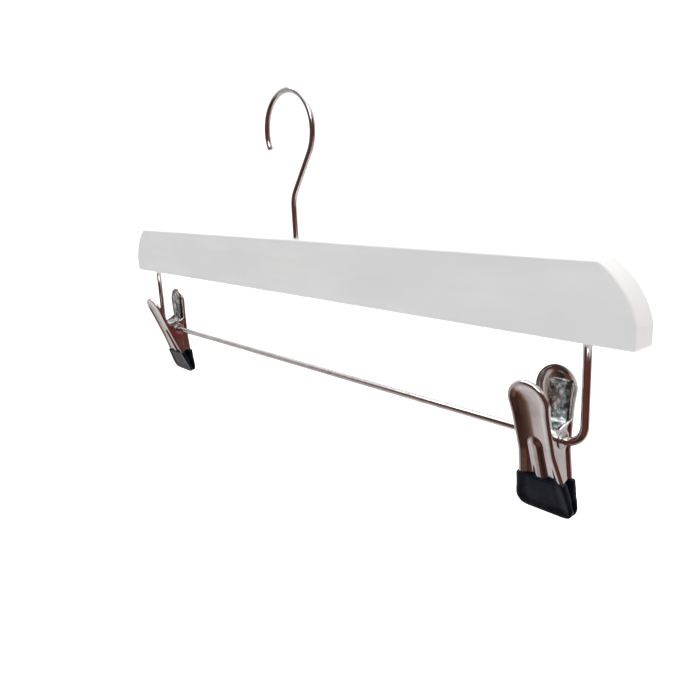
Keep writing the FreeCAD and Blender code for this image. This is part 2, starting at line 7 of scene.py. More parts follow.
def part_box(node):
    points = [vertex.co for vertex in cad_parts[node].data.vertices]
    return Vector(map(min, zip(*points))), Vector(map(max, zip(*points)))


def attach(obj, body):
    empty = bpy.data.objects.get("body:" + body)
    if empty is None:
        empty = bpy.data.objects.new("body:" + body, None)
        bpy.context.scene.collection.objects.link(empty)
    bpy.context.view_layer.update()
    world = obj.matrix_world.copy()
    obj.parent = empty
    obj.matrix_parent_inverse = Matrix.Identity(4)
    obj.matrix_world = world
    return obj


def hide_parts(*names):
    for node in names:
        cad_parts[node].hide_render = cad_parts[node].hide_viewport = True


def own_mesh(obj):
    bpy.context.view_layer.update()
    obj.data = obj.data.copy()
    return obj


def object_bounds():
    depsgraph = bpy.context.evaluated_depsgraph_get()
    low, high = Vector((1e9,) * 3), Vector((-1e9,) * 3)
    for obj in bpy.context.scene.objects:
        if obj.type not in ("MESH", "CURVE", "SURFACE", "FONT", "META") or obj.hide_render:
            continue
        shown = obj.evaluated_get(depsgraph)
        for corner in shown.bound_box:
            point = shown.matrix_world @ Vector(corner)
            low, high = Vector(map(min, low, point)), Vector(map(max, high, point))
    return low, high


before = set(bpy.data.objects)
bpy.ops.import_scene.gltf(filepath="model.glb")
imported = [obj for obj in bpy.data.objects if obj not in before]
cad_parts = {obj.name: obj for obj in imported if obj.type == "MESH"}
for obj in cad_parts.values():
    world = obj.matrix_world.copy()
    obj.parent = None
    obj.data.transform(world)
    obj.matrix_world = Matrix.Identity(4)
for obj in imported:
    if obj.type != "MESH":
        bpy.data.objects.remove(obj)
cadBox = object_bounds()
mm = 0.001
print("frame loaded")

view = {
    "place": (0.31884, -0.22837, -0.04263),  # metres, in the part's own frame
    "looks": (-0.74793, 0.61727, -0.24408),
    "roll": -2.79,  # degrees
    "lens": 36.0,
    "sensor": 36.0,
}


def makeCamera():
    data = bpy.data.cameras.new("camera")
    data.lens = view["lens"]
    data.sensor_width = view["sensor"]
    data.clip_start = 0.01
    camera = bpy.data.objects.new("camera", data)
    turn = Vector(view["looks"]).to_track_quat("-Z", "Y").to_matrix().to_4x4()
    roll = Matrix.Rotation(math.radians(view["roll"]), 4, "Z")
    camera.matrix_world = Matrix.Translation(view["place"]) @ turn @ roll
    bpy.context.collection.objects.link(camera)
    bpy.context.scene.camera = camera


makeCamera()
print("camera placed")


# helpers for meshes
def centreOf(node):
    low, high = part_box(node)
    return (Vector(low) + Vector(high)) / 2


def smoothStep(low, high, value):
    share = min(1.0, max(0.0, (value - low) / (high - low)))
    return share * share * (3 - 2 * share)


def pieceFrom(name, points, faces, place=None):
    data = bpy.data.meshes.new(name)
    data.from_pydata([tuple(p) for p in points], [], faces)
    if place is not None:
        data.transform(place)
    mesh = bmesh.new()
    mesh.from_mesh(data)
    bmesh.ops.recalc_face_normals(mesh, faces=mesh.faces)
    mesh.to_mesh(data)
    mesh.free()
    for face in data.polygons:
        face.use_smooth = True
    piece = bpy.data.objects.new(name, data)
    bpy.context.collection.objects.link(piece)
    return piece


def applyModifiers(piece):
    graph = bpy.context.evaluated_depsgraph_get()
    done = bpy.data.meshes.new_from_object(piece.evaluated_get(graph))
    piece.modifiers.clear()
    piece.data = done
    return piece


def softenEdges(piece, width, steps=2, angle=40):
    bevel = piece.modifiers.new("soft edges", "BEVEL")
    bevel.width = width
    bevel.segments = steps
    bevel.limit_method = "ANGLE"
    bevel.angle_limit = math.radians(angle)


def ringFaces(rows, around):
    faces = []
    for i in range(rows - 1):
        for j in range(around):
            k = (j + 1) % around
            faces.append((i * around + j, i * around + k, (i + 1) * around + k, (i + 1) * around + j))
    faces.append(tuple(reversed(range(around))))
    faces.append(tuple((rows - 1) * around + j for j in range(around)))
    return faces


def arcPoints(centre, radius, fromAngle, toAngle, steps):  # in the XZ plane
    points = []
    middle = Vector((centre[0], 0, centre[1]))
    for i in range(steps + 1):
        angle = math.radians(fromAngle + (toAngle - fromAngle) * i / steps)
        points.append(middle + radius * Vector((math.cos(angle), 0, math.sin(angle))))
    return points


def between(stops, spot):
    # the straight-line value between (spot, value) stops
    for (lowSpot, lowValue), (highSpot, highValue) in zip(stops, stops[1:]):
        if spot <= highSpot:
            return lowValue + (highValue - lowValue) * (spot - lowSpot) / (highSpot - lowSpot)


def wirePiece(name, line, radii, around=32):  # the line lies in the XZ plane
    points = []
    back = Vector((0, 1, 0))
    for i, spot in enumerate(line):
        ahead = line[min(i + 1, len(line) - 1)] - line[max(i - 1, 0)]
        side = back.cross(ahead.normalized())
        for j in range(around):
            angle = 2 * math.pi * j / around
            points.append(spot + radii[i] * (math.cos(angle) * side + math.sin(angle) * back))
    return pieceFrom(name, points, ringFaces(len(line), around))


def latheX(name, profile, place, around=56):  # the profile is a closed loop of (along, radius)
    points = []
    for along, radius in profile:
        for j in range(around):
            angle = 2 * math.pi * j / around
            points.append(Vector((along, radius * math.cos(angle), radius * math.sin(angle))) * mm)
    faces = []
    count = len(profile)
    for i in range(count):
        for j in range(around):
            k, n = (j + 1) % around, (i + 1) % count
            faces.append((i * around + j, i * around + k, n * around + k, n * around + j))
    return pieceFrom(name, points, faces, place)


# helpers for finishes
class Finish:
    def __init__(self, name, colour, roughness, metallic=0.0):
        self.material = bpy.data.materials.new(name)
        self.material.use_nodes = True
        self.tree = self.material.node_tree
        self.shader = self.tree.nodes["Principled BSDF"]
        self.shader.inputs["Base Color"].default_value = (*colour, 1)
        self.shader.inputs["Roughness"].default_value = roughness
        self.shader.inputs["Metallic"].default_value = metallic
        self.coords = self.tree.nodes.new("ShaderNodeTexCoord")

    def join(self, fromSocket, toSocket):
        self.tree.links.new(fromSocket, toSocket)

    def noise(self, scale, stretch=(1, 1, 1), detail=4.0, rough=0.5):
        mapping = self.tree.nodes.new("ShaderNodeMapping")
        mapping.inputs["Scale"].default_value = stretch
        noise = self.tree.nodes.new("ShaderNodeTexNoise")
        noise.inputs["Scale"].default_value = scale
        noise.inputs["Detail"].default_value = detail
        noise.inputs["Roughness"].default_value = rough
        self.join(self.coords.outputs["Object"], mapping.inputs["Vector"])
        self.join(mapping.outputs["Vector"], noise.inputs["Vector"])
        return noise.outputs["Fac"]

    def ramp(self, source, stops):
        ramp = self.tree.nodes.new("ShaderNodeValToRGB")
        elements = ramp.color_ramp.elements
        while len(elements) < len(stops):
            elements.new(0.5)
        for element, (spot, colour) in zip(elements, stops):
            element.position = spot
            element.color = (*colour, 1)
        self.join(source, ramp.inputs["Fac"])
        return ramp.outputs["Color"]

    def spread(self, source, low, high, fromLow=0.3, fromHigh=0.7):
        spread = self.tree.nodes.new("ShaderNodeMapRange")
        spread.inputs["From Min"].default_value = fromLow
        spread.inputs["From Max"].default_value = fromHigh
        spread.inputs["To Min"].default_value = low
        spread.inputs["To Max"].default_value = high
        self.join(source, spread.inputs["Value"])
        return spread.outputs["Result"]

    def mix(self, share, first, second):
        mix = self.tree.nodes.new("ShaderNodeMix")
        mix.data_type = "RGBA"
        self.join(share, mix.inputs["Factor"])
        for source, socket in ((first, mix.inputs["A"]), (second, mix.inputs["B"])):
            if isinstance(source, tuple):
                socket.default_value = (*source, 1)
            else:
                self.join(source, socket)
        return mix.outputs["Result"]

    def bump(self, height, strength, distance, under=None):
        bump = self.tree.nodes.new("ShaderNodeBump")
        bump.inputs["Strength"].default_value = strength
        bump.inputs["Distance"].default_value = distance
        self.join(height, bump.inputs["Height"])
        if under is not None:
            self.join(under, bump.inputs["Normal"])
        return bump.outputs["Normal"]

    def feed(self, **sockets):
        names = {"colour": "Base Color", "roughness": "Roughness", "normal": "Normal"}
        for key, source in sockets.items():
            self.join(source, self.shader.inputs[names[key]])

    def paint(self, piece, slotName):
        piece.data.materials.clear()
        piece.data.materials.append(self.material)


# patterns are scale, stretch, detail and roughness; depths are a bump's strength and its metres
lacquerLook = {
    "white": (0.705, 0.71, 0.71),
    "mottle": (0.575, 0.585, 0.60),  # cooler, greyer patches
    "grain": (0.60, 0.605, 0.60),
    "roughness": (0.30, 0.44),
    "coat": 0.25,
    "coatRoughness": 0.18,
    "cloud": (28, (0.5, 1, 1), 3),
    "lines": (60, (0.06, 1, 1.6), 6, 0.65),
    "lineDepth": (0.12, 0.0004),
    "pores": (420, (0.05, 1, 1), 2),
    "poreDepth": (0.05, 0.0002),
    "ripple": (90, (0.4, 1, 1), 2),
    "rippleDepth": (0.10, 0.0006),
}


def whiteLacquer():
    coating = lacquerLook
    look = Finish("whiteLacquer", coating["white"], coating["roughness"][0])
    cloud = look.noise(*coating["cloud"])
    grainLines = look.noise(*coating["lines"])
    pores = look.noise(*coating["pores"])
    base = look.mix(look.spread(cloud, 0, 0.55), coating["white"], coating["mottle"])
    colour = look.mix(look.spread(grainLines, 0, 0.4, 0.45, 0.72), base, coating["grain"])
    ripple = look.bump(look.noise(*coating["ripple"]), *coating["rippleDepth"])
    lines = look.bump(grainLines, *coating["lineDepth"], ripple)
    look.feed(colour=colour, normal=look.bump(pores, *coating["poreDepth"], lines),
              roughness=look.spread(cloud, *coating["roughness"]))
    look.shader.inputs["Coat Weight"].default_value = coating["coat"]
    look.shader.inputs["Coat Roughness"].default_value = coating["coatRoughness"]
    return look


plateLook = {
    "bright": (0.78, 0.77, 0.76),
    "dull": (0.60, 0.58, 0.565),
    "roughness": (0.07, 0.20),
    "haze": (160, (1, 1, 1), 4, 0.6),
    "scratchScale": 900,
    "scratchDepth": 0.0001,
    "wave": (220, (1, 1, 1), 1),
    "waveDepth": 0.0004,
}


def polishedPlate(name, scratchStretch, ripple):
    plate = plateLook
    look = Finish(name, plate["bright"], plate["roughness"][0], 1.0)
    haze = look.noise(*plate["haze"])
    scratches = look.noise(plate["scratchScale"], scratchStretch, 3, 0.7)
    colour = look.mix(look.spread(haze, 0, 0.8, 0.45, 0.75), plate["bright"], plate["dull"])
    wave = look.bump(look.noise(*plate["wave"]), ripple, plate["waveDepth"])
    look.feed(colour=colour, roughness=look.spread(haze, *plate["roughness"]),
              normal=look.bump(scratches, ripple * 0.5, plate["scratchDepth"], wave))
    return look


zincLook = {
    "plain": (0.66, 0.70, 0.71),
    # the plating's random tint; its near-black stops are painted dark reflections, not the metal's own
    # colour
    "tintsAndDarkReflections": ((0.36, (0.12, 0.14, 0.145)), (0.5, (0.34, 0.375, 0.38)), (0.64, (0.76, 0.77, 0.76))),
    "roughness": (0.10, 0.24),
    "cloud": (300, (1, 1, 1), 4, 0.6),
    "dents": (260, (1, 1, 1), 1),
    "dentDepth": (0.8, 0.0010),
    "rolled": (900, (1.0, 0.08, 0.08), 3),  # fine lines from the rolling mill
    "rolledDepth": (0.08, 0.0001),
}


def zincStrip():
    strip = zincLook
    look = Finish("zincStrip", strip["plain"], strip["roughness"][0], 1.0)
    cloud = look.noise(*strip["cloud"])
    dents = look.bump(look.noise(*strip["dents"]), *strip["dentDepth"])
    rolled = look.bump(look.noise(*strip["rolled"]), *strip["rolledDepth"], dents)
    # the cloud ramp paints dark reflections into the strip's colour, on top of the plating's random tint
    look.feed(colour=look.ramp(cloud, strip["tintsAndDarkReflections"]), normal=rolled,
              roughness=look.spread(cloud, *strip["roughness"]))
    return look


hardwareLook = {
    "bright": (0.64, 0.64, 0.64),
    "tarnish": (0.46, 0.45, 0.44),
    "roughness": (0.2, 0.4),
    "cloud": (500, (1, 1, 1), 4, 0.6),
    "depth": (0.1, 0.0001),
}


def dullPlate():
    plate = hardwareLook
    look = Finish("dullPlate", plate["bright"], plate["roughness"][0], 1.0)
    cloud = look.noise(*plate["cloud"])
    look.feed(colour=look.mix(look.spread(cloud, 0, 0.7), plate["bright"], plate["tarnish"]),
              roughness=look.spread(cloud, *plate["roughness"]), normal=look.bump(cloud, *plate["depth"]))
    return look


vinylLook = {
    "dark": (0.002, 0.003, 0.006),
    "worn": (0.006, 0.008, 0.012),
    "roughness": (0.18, 0.34),
    "shine": 0.2,
    "shineTint": (0.55, 0.68, 1.0),
    "cloud": (130, (1, 1, 1), 3),
    "skin": (1400, (1, 1, 1), 2),
    "skinDepth": (0.12, 0.0001),
    "drips": (240, (1, 1, 0.6), 2),
    "dripDepth": (0.18, 0.0005),
}


def dippedVinyl():
    dip = vinylLook
    look = Finish("dippedVinyl", dip["dark"], dip["roughness"][0])
    cloud = look.noise(*dip["cloud"])
    drips = look.bump(look.noise(*dip["drips"]), *dip["dripDepth"])
    look.feed(colour=look.mix(look.spread(cloud, 0, 1), dip["dark"], dip["worn"]),
              roughness=look.spread(cloud, *dip["roughness"]),
              normal=look.bump(look.noise(*dip["skin"]), *dip["skinDepth"], drips))
    look.shader.inputs["Specular IOR Level"].default_value = dip["shine"]
    look.shader.inputs["Specular Tint"].default_value = (*dip["shineTint"], 1)
    return look


lacquer = whiteLacquer()
wirePlate = polishedPlate("polishedWire", (0.3, 1, 0.3), 0.015)
sheetPlate = polishedPlate("polishedSheet", (1, 1, 0.12), 0.05)
zinc = zincStrip()
steel = dullPlate()
vinyl = dippedVinyl()
print("finishes made")


# the bar and its small hardware keep the frame's own shapes
def finishBar():
    lacquer.paint(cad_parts["wooden_bar"], "white_lacquer")
    for name in ("hook_washer", "rod_brad_left", "rod_brad_right"):
        steel.paint(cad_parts[name], "plated_hardware")


hookShape = {
    "wire": 3.3,
    "crownRadius": 20.6,  # to the wire's centre line
    "neckAngle": 36.0,
    "neckRadius": 16.0,
    "tail": 206.0,  # degrees round the crown to the free tip
    "tipRound": 0.9,
    "headWide": 6.4,
    "headTall": 1.4,
    "headEdge": 0.15,
    "headDome": 0.7,  # share of the head's height that is domed
    "headSquareness": 0.45,
    "headSink": 0.2,  # how far the wire starts inside the head
    "steps": {"stem": 6, "neck": 14, "crown": 96, "tip": 7, "dome": 8, "round": 40},
}


def makeHook():
    hook, steps = hookShape, hookShape["steps"]
    radius, crown, neck = hook["wire"] / 2, hook["crownRadius"], hook["neckRadius"]
    lean = math.radians(hook["neckAngle"])
    centre = radius - crown  # the hook's inside top is the frame's origin
    join = Vector((crown * math.cos(lean), 0, centre - crown * math.sin(lean)))
    bendX = neck * (1 - math.cos(lean))
    bendZ = join.z - (join.x - bendX) / math.tan(lean)
    lowest = bendZ - neck * math.sin(lean)
    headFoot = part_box("hook")[0][2] / mm
    start = Vector((0, 0, headFoot + hook["headTall"] - hook["headSink"]))
    line = [start.lerp(Vector((0, 0, lowest)), i / steps["stem"]) for i in range(steps["stem"])]
    bend = arcPoints((neck, lowest), neck, 180, 180 - hook["neckAngle"], steps["neck"])
    crownLine = arcPoints((0, centre), crown, -hook["neckAngle"], hook["tail"], steps["crown"])
    neckLine = [bend[-1].lerp(crownLine[0], i / steps["stem"]) for i in range(1, steps["stem"])]
    line += bend + neckLine + crownLine
    along = (line[-1] - line[-2]).normalized()
    roundStart = line[-1] - along * hook["tipRound"]
    while (line[-1] - roundStart).dot(along) > 0:
        line.pop()
    radii = [radius] * len(line)
    for i in range(steps["tip"] + 1):
        turn = math.pi / 2 * i / steps["tip"]
        line.append(roundStart + along * hook["tipRound"] * math.sin(turn))
        radii.append(radius - hook["tipRound"] * (1 - math.cos(turn)))
    wire = wirePiece("hook_wire", [spot * mm for spot in line], [reach * mm for reach in radii])
    for piece in (wire, makeHookHead(headFoot)):
        wirePlate.paint(piece, "polished_wire")
        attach(piece, "hook")
        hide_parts("hook")


def makeHookHead(foot):
    hook, steps = hookShape, hookShape["steps"]
    wide, top, edge = hook["headWide"] / 2, foot + hook["headTall"], hook["headEdge"]
    pin = 0.02  # radius of the flat faces' middle
    domeTall = hook["headTall"] * hook["headDome"]
    domeWide = wide * 0.999  # the dome stays just inside the edge
    profile = [(top, pin), (top, wide - edge), (top - edge, wide)]
    for i in range(1, steps["dome"]):
        turn = math.pi / 2 * i / steps["dome"]
        reach = domeWide * math.cos(turn) ** hook["headSquareness"]
        profile.append((foot + domeTall * (1 - math.sin(turn)), reach))
    profile.append((foot, pin))
    points = []
    for level, reach in profile:
        for j in range(steps["round"]):
            turn = 2 * math.pi * j / steps["round"]
            points.append(Vector((reach * math.cos(turn), reach * math.sin(turn), level)) * mm)
    return pieceFrom("hook_head", points, ringFaces(len(profile), steps["round"]))


rodShape = {
    "wire": 3.5,
    "bend": 8.0,
    "legRing": 12.0,  # height above the bend of the leg's one ring
    "steps": {"bend": 20, "run": 12},
}


def makeRod():
    low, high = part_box("trouser_rod")
    radius, bend, steps = rodShape["wire"] / 2, rodShape["bend"], rodShape["steps"]
    half, top, level = high[0] / mm - radius, high[2] / mm, low[2] / mm + radius
    run, ring = half - bend, level + bend + rodShape["legRing"]
    line = [Vector((-half, 0, top)), Vector((-half, 0, ring))]
    line += arcPoints((-run, level + bend), bend, 180, 270, steps["bend"])
    line += [Vector((-run + 2 * run * i / steps["run"], 0, level)) for i in range(1, steps["run"])]
    line += arcPoints((run, level + bend), bend, 270, 360, steps["bend"])
    line += [Vector((half, 0, ring)), Vector((half, 0, top))]
    piece = wirePiece("rod_wire", [spot * mm for spot in line], [radius * mm] * len(line))
    wirePlate.paint(piece, "polished_wire")
    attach(piece, "hanger_bar")
    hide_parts("trouser_rod")


jawShape = {
    "lean": 10.7,  # degrees from the clip's middle plane
    "reach": 7.25,  # pivot to the jaw's outer face
    "sheet": 0.7,
    "tabTop": 28.5,
    "tabRadius": 9.5,
    "waist": (8.9, 13.0),  # half width and height above the pivot
    "back": (8.8, 7.6),
    "straight": -5.1,  # the sides run straight down to here
    "flare": (10.7, -16.4),
    "foot": (12.9, -29.1),
    "footRound": 4.0,
    "easing": 0.6,  # how far apart the outline is sampled to ease its corners
    "curl": 0.95,  # radius of the rolled edge
    "rimFlat": 1.3,
    "rimStep": (0.3, 0.25),  # the step inside the rim: its share of the wall and of the depth
    "dishWall": 8.0,  # how gently the dish falls from its rim
    "dish": 1.25,
    "rib": 2.4,  # half width of the middle rib
    "ribTop": 1.2,
    "ribWall": 3.0,
    "channelFoot": (-25.0, -21.5),
    "lobe": 4.25,
    "lobeTurn": (62.0, -40.0),  # degrees at which the ear's lobe meets its straight edges
    "nest": 0.8,  # how far the inner ear steps in
    "nestAt": (1.2, 3.2),  # how deep in that step starts and ends
    "nestFade": (3.0, 1.0),  # and over what height it fades, below and above the ear's top
    "lip": 1.55,  # depth of the folded edge round the tab
    "shelf": -6.2,
    "flangeFoot": 3.5,  # how deep the folded sides are where they end
    "bootFold": 0.62,  # what is left of them inside the boot
    "trim": 0.06,  # taken off the sheet's thickness
    "softEdge": 0.14,
    "steps": {"side": 104, "fan": 60, "fold": 12, "roll": 8, "across": 26},
}


def outlineHalf(s):
    # half the jaw's width at height s
    jaw = jawShape
    shoulder, foot = jaw["tabTop"] - jaw["tabRadius"], jaw["foot"][1]
    stops = [(foot, jaw["foot"][0]), (jaw["flare"][1], jaw["flare"][0]), (jaw["straight"], jaw["back"][0]),
             (jaw["back"][1], jaw["back"][0]), (jaw["waist"][1], jaw["waist"][0]),
             (shoulder, jaw["tabRadius"])]
    if s >= shoulder:
        up = min(s - shoulder, jaw["tabRadius"])
        return math.sqrt(max(0.0, jaw["tabRadius"] ** 2 - up ** 2))
    if s <= foot:
        down = min(foot - s, jaw["footRound"])
        return jaw["foot"][0] - jaw["footRound"] + math.sqrt(max(0.0, jaw["footRound"] ** 2 - down ** 2))
    return between(stops, s)


def softHalf(s):
    # the same outline with its corners eased
    jaw = jawShape
    if s < jaw["foot"][1] + 1 or s > jaw["tabTop"] - jaw["tabRadius"] - 1:
        return outlineHalf(s)
    samples = [outlineHalf(s + k * jaw["easing"]) for k in range(-3, 4)]
    return sum(samples) / len(samples)


def flangeDepth(s):
    # how far the folded side reaches back from the jaw's plate
    jaw = jawShape
    plate = -jaw["reach"] + jaw["sheet"] / 2
    high, low = (math.radians(turn) for turn in jaw["lobeTurn"])
    lobeTop, lobeFoot = jaw["lobe"] * math.sin(high), jaw["lobe"] * math.sin(low)
    if lobeFoot < s < lobeTop:
        return math.sqrt(jaw["lobe"] ** 2 - s ** 2) - plate
    if s <= jaw["flare"][1]:
        return jaw["bootFold"]
    if s >= jaw["back"][1]:
        return jaw["lip"]
    if s > 0:
        return between([(lobeTop, jaw["lobe"] * math.cos(high) - plate), (jaw["back"][1], jaw["lip"])], s)
    shelf = jaw["shelf"] * math.tan(math.radians(jaw["lean"])) - jaw["sheet"] / 2
    return between([(jaw["flare"][1], jaw["flangeFoot"]), (jaw["shelf"], shelf - plate),
                    (lobeFoot, jaw["lobe"] * math.cos(low) - plate)], s)


def dishDepth(x, s, edge):
    # how far the plate is pressed in, at a distance from its edge, with the rib left standing
    jaw = jawShape
    stepWide, stepDeep = jaw["rimStep"]
    fall = min(1.0, max(0.0, (edge - jaw["rimFlat"]) / jaw["dishWall"]))
    pressed = smoothStep(0, stepWide, fall) * stepDeep + math.sin(math.pi / 2 * fall) * (1 - stepDeep)
    ribReach = math.hypot(x, max(0.0, s - jaw["ribTop"] + jaw["rib"]))
    rib = 1 - smoothStep(jaw["rib"] - jaw["ribWall"] / 2, jaw["rib"] + jaw["ribWall"] / 2, ribReach)
    return jaw["dish"] * pressed * (1 - rib) * smoothStep(*jaw["channelFoot"], s)


def jawStations():
    # places round the jaw's outline: (x, s) at the edge and at the far end of the line inwards
    jaw, steps = jawShape, jawShape["steps"]
    half = jaw["sheet"] / 2
    centre = jaw["tabTop"] - jaw["tabRadius"]
    foot = jaw["foot"][1] - jaw["footRound"] + half
    side = []
    for i in range(steps["side"]):
        s = foot + (centre - foot) * i / steps["side"]
        side.append(((softHalf(s) - half, s), (0.0, s)))
    fan = []
    reach = jaw["tabRadius"] - half
    for i in range(steps["fan"] + 1):
        turn = math.pi * i / steps["fan"]
        fan.append(((reach * math.cos(turn), centre + reach * math.sin(turn)), (0.0, centre)))
    return side + fan + [((-edge[0], edge[1]), end) for edge, end in side[::-1]]


def nestStep(s, reach):
    # one ear steps in, to sit inside the other jaw's
    jaw = jawShape
    top, (below, above) = jaw["back"][1], jaw["nestFade"]
    return jaw["nest"] * smoothStep(*jaw["nestAt"], reach) * (1 - smoothStep(top - below, top + above, s))


def jawRow(x, s, endX, endS):
    # from the folded side's free edge, round the rolled corner and across to the plate's middle
    jaw, steps = jawShape, jawShape["steps"]
    plate = -jaw["reach"] + jaw["sheet"] / 2
    curl = jaw["curl"] - jaw["sheet"] / 2
    deep = flangeDepth(s)
    length = math.hypot(endX - x, endS - s)
    inX, inS = (endX - x) / length, (endS - s) / length
    row = []
    for k in range(steps["fold"]):
        reach = deep + (curl - deep) * k / steps["fold"]
        step = nestStep(s, reach) if x < 0 else 0.0
        row.append(Vector((x + step, plate + reach, s)))
    for k in range(steps["roll"]):
        turn = math.pi / 2 * k / steps["roll"]
        edge = curl * (1 - math.cos(turn))
        row.append(Vector((x + inX * edge, plate + curl * (1 - math.sin(turn)), s + inS * edge)))
    for k in range(steps["across"] + 1):
        edge = curl + (length - curl) * k / steps["across"]
        spotX, spotS = x + inX * edge, s + inS * edge
        row.append(Vector((spotX, plate + dishDepth(spotX, spotS, edge), spotS)))
    return row


def makeJaw(name, node, body, place):
    rows = [jawRow(*edge, *end) for edge, end in jawStations()]
    wide = len(rows[0])
    faces = [(i * wide + k, i * wide + k + 1, (i + 1) * wide + k + 1, (i + 1) * wide + k)
             for i in range(len(rows) - 1) for k in range(wide - 1)]
    data = bpy.data.meshes.new(name)
    data.from_pydata([tuple(spot * mm) for row in rows for spot in row], [], faces)
    mesh = bmesh.new()
    mesh.from_mesh(data)
    bmesh.ops.remove_doubles(mesh, verts=mesh.verts, dist=0.01 * mm)
    bmesh.ops.recalc_face_normals(mesh, faces=mesh.faces)
    mesh.to_mesh(data)
    mesh.free()
    piece = bpy.data.objects.new(name, data)
    bpy.context.collection.objects.link(piece)
    thick = piece.modifiers.new("sheet", "SOLIDIFY")
    thick.thickness = (jawShape["sheet"] - jawShape["trim"]) * mm
    thick.offset = 0
    softenEdges(piece, jawShape["softEdge"] * mm)
    applyModifiers(piece)
    piece.data.transform(place)
    for face in piece.data.polygons:
        face.use_smooth = True
    sheetPlate.paint(piece, "plated_sheet")
    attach(piece, body)
    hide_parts(node)


bootShape = {
    "mouth": -17.0,
    "foot": -33.85,
    "wall": 0.78,
    "inner": -6.06,  # its inner face below the jaw's toe
    "innerDeep": -4.90,  # and above it
    "innerStep": (-24.4, -26.0),
    "gap": 0.08,  # from each boot to the clip's middle plane
    "corner": 4.8,
    "heel": 1.1,  # height of the rounded foot
    "heelInset": 0.62,
    "groove": 0.55,  # share of the jaw's dish that shows through
    "grooveFade": (1.0, 5.0),  # heights above the foot over which it comes in
    "squareness": (2 / 9, 2 / 5),  # of the section, across and through
    # drop and inset of the rings round the mouth's edge
    "lip": ((0.02, 0.75), (0.02, 0.42), (0.12, 0.18), (0.35, 0.05), (0.7, 0.0)),
    "steps": {"down": 26, "heel": 8, "around": 96},
}


def bootHalf(s):
    # half the boot's width at height s
    boot = bootShape
    wide = jawShape["foot"][0] + boot["wall"]
    start = boot["foot"] + boot["corner"]
    if s < start:
        down = min(start - s, boot["corner"])
        return wide - boot["corner"] + math.sqrt(max(0.0, boot["corner"] ** 2 - down ** 2))
    share = min(1.0, (s - start) / (boot["mouth"] - start))
    return wide + share * (softHalf(boot["mouth"]) + boot["wall"] - wide)


def bootRows():
    # height and inset of each ring, from the mouth down to the foot
    boot, steps = bootShape, bootShape["steps"]
    rows = [(boot["mouth"] - drop, inset) for drop, inset in boot["lip"]]
    top, low = rows[-1][0], boot["foot"] + boot["heel"]
    for i in range(1, steps["down"] + 1):
        rows.append((top + (low - top) * i / steps["down"], 0.0))
    for i in range(1, steps["heel"] + 1):
        turn = math.pi / 2 * i / steps["heel"]
        rows.append((low + (boot["foot"] - low) * math.sin(turn), boot["heelInset"] * (1 - math.cos(turn))))
    return rows


def bootRing(s, inset):
    boot, around = bootShape, bootShape["steps"]["around"]
    half = bootHalf(s) - inset
    outer = -jawShape["reach"] - boot["wall"] + inset
    middle = s * math.tan(math.radians(jawShape["lean"])) - boot["gap"]
    stepTop, stepFoot = boot["innerStep"]
    deep = boot["innerDeep"] + (boot["inner"] - boot["innerDeep"]) * (1 - smoothStep(stepFoot, stepTop, s))
    inner = min(deep, middle) - inset * 0.5
    fadeFoot, fadeTop = (boot["foot"] + rise for rise in boot["grooveFade"])
    groove = boot["groove"] * smoothStep(fadeFoot, fadeTop, s)
    acrossPower, throughPower = boot["squareness"]
    ring = []
    for k in range(around):
        turn = 2 * math.pi * k / around
        across, through = math.cos(turn), math.sin(turn)
        x = half * math.copysign(abs(across) ** acrossPower, across)
        share = math.copysign(abs(through) ** throughPower, through)
        y = (outer + inner) / 2 + (inner - outer) / 2 * share
        if through < 0:
            y -= groove * share * dishDepth(x, max(s, jawShape["channelFoot"][1]), half - abs(x))
        ring.append(Vector((x, y, s)) * mm)
    return ring


def makeBoot(name, node, body, place):
    rows = bootRows()
    points = [spot for s, inset in rows for spot in bootRing(s, inset)]
    piece = pieceFrom(name, points, ringFaces(len(rows), bootShape["steps"]["around"]), place)
    vinyl.paint(piece, "black_rubber")
    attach(piece, body)
    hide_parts(node)


tubeShape = {"bore": 2.33, "outer": 2.92, "flare": 3.75, "ends": 9.28}


def makeTube(name, node, body, place):
    end, bore, outer, flare = (tubeShape[key] for key in ("ends", "bore", "outer", "flare"))
    # along the barrel, round the flare and back into the bore
    half = [(0.0, outer), (end - 0.5, outer), (end - 0.4, outer + 0.06), (end - 0.38, flare - 0.12),
            (end - 0.33, flare), (end - 0.15, flare), (end - 0.04, flare - 0.12), (end, flare - 0.35),
            (end - 0.02, bore + 0.5), (end - 0.2, bore + 0.15), (end - 0.7, bore)]
    profile = half + [(-along, radius) for along, radius in half[:0:-1]]
    piece = latheX(name, profile, place)
    steel.paint(piece, "plated_hardware")
    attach(piece, body)
    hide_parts(node)


springShape = {
    "wide": 10.0,
    "thick": 0.6,
    "heights": (23.1, 22.4, 21.4, 18.0, 12.0, 7.8),  # of the side's rings, above the pivot
    "topCurl": 0.35,  # how far its free end curls in over the first three
    "stand": 0.36,  # plate's inner face to the strip's middle
    "floor": 4.45,
    "heelRun": 0.75,
    "toeRun": 1.6,
    "bendShares": (0.2, 0.4, 0.6, 0.8),
    "endWide": 0.9,  # the ends' share of the full width
    "softEdge": 0.14,
    "shift": {"left": 0.0, "right": 1.8},  # sideways along the rod
    "pinched": 0.42,  # share of its depth left when the tabs are pressed together
    "pinchAt": (0.0, 12.0, 14.0),
}


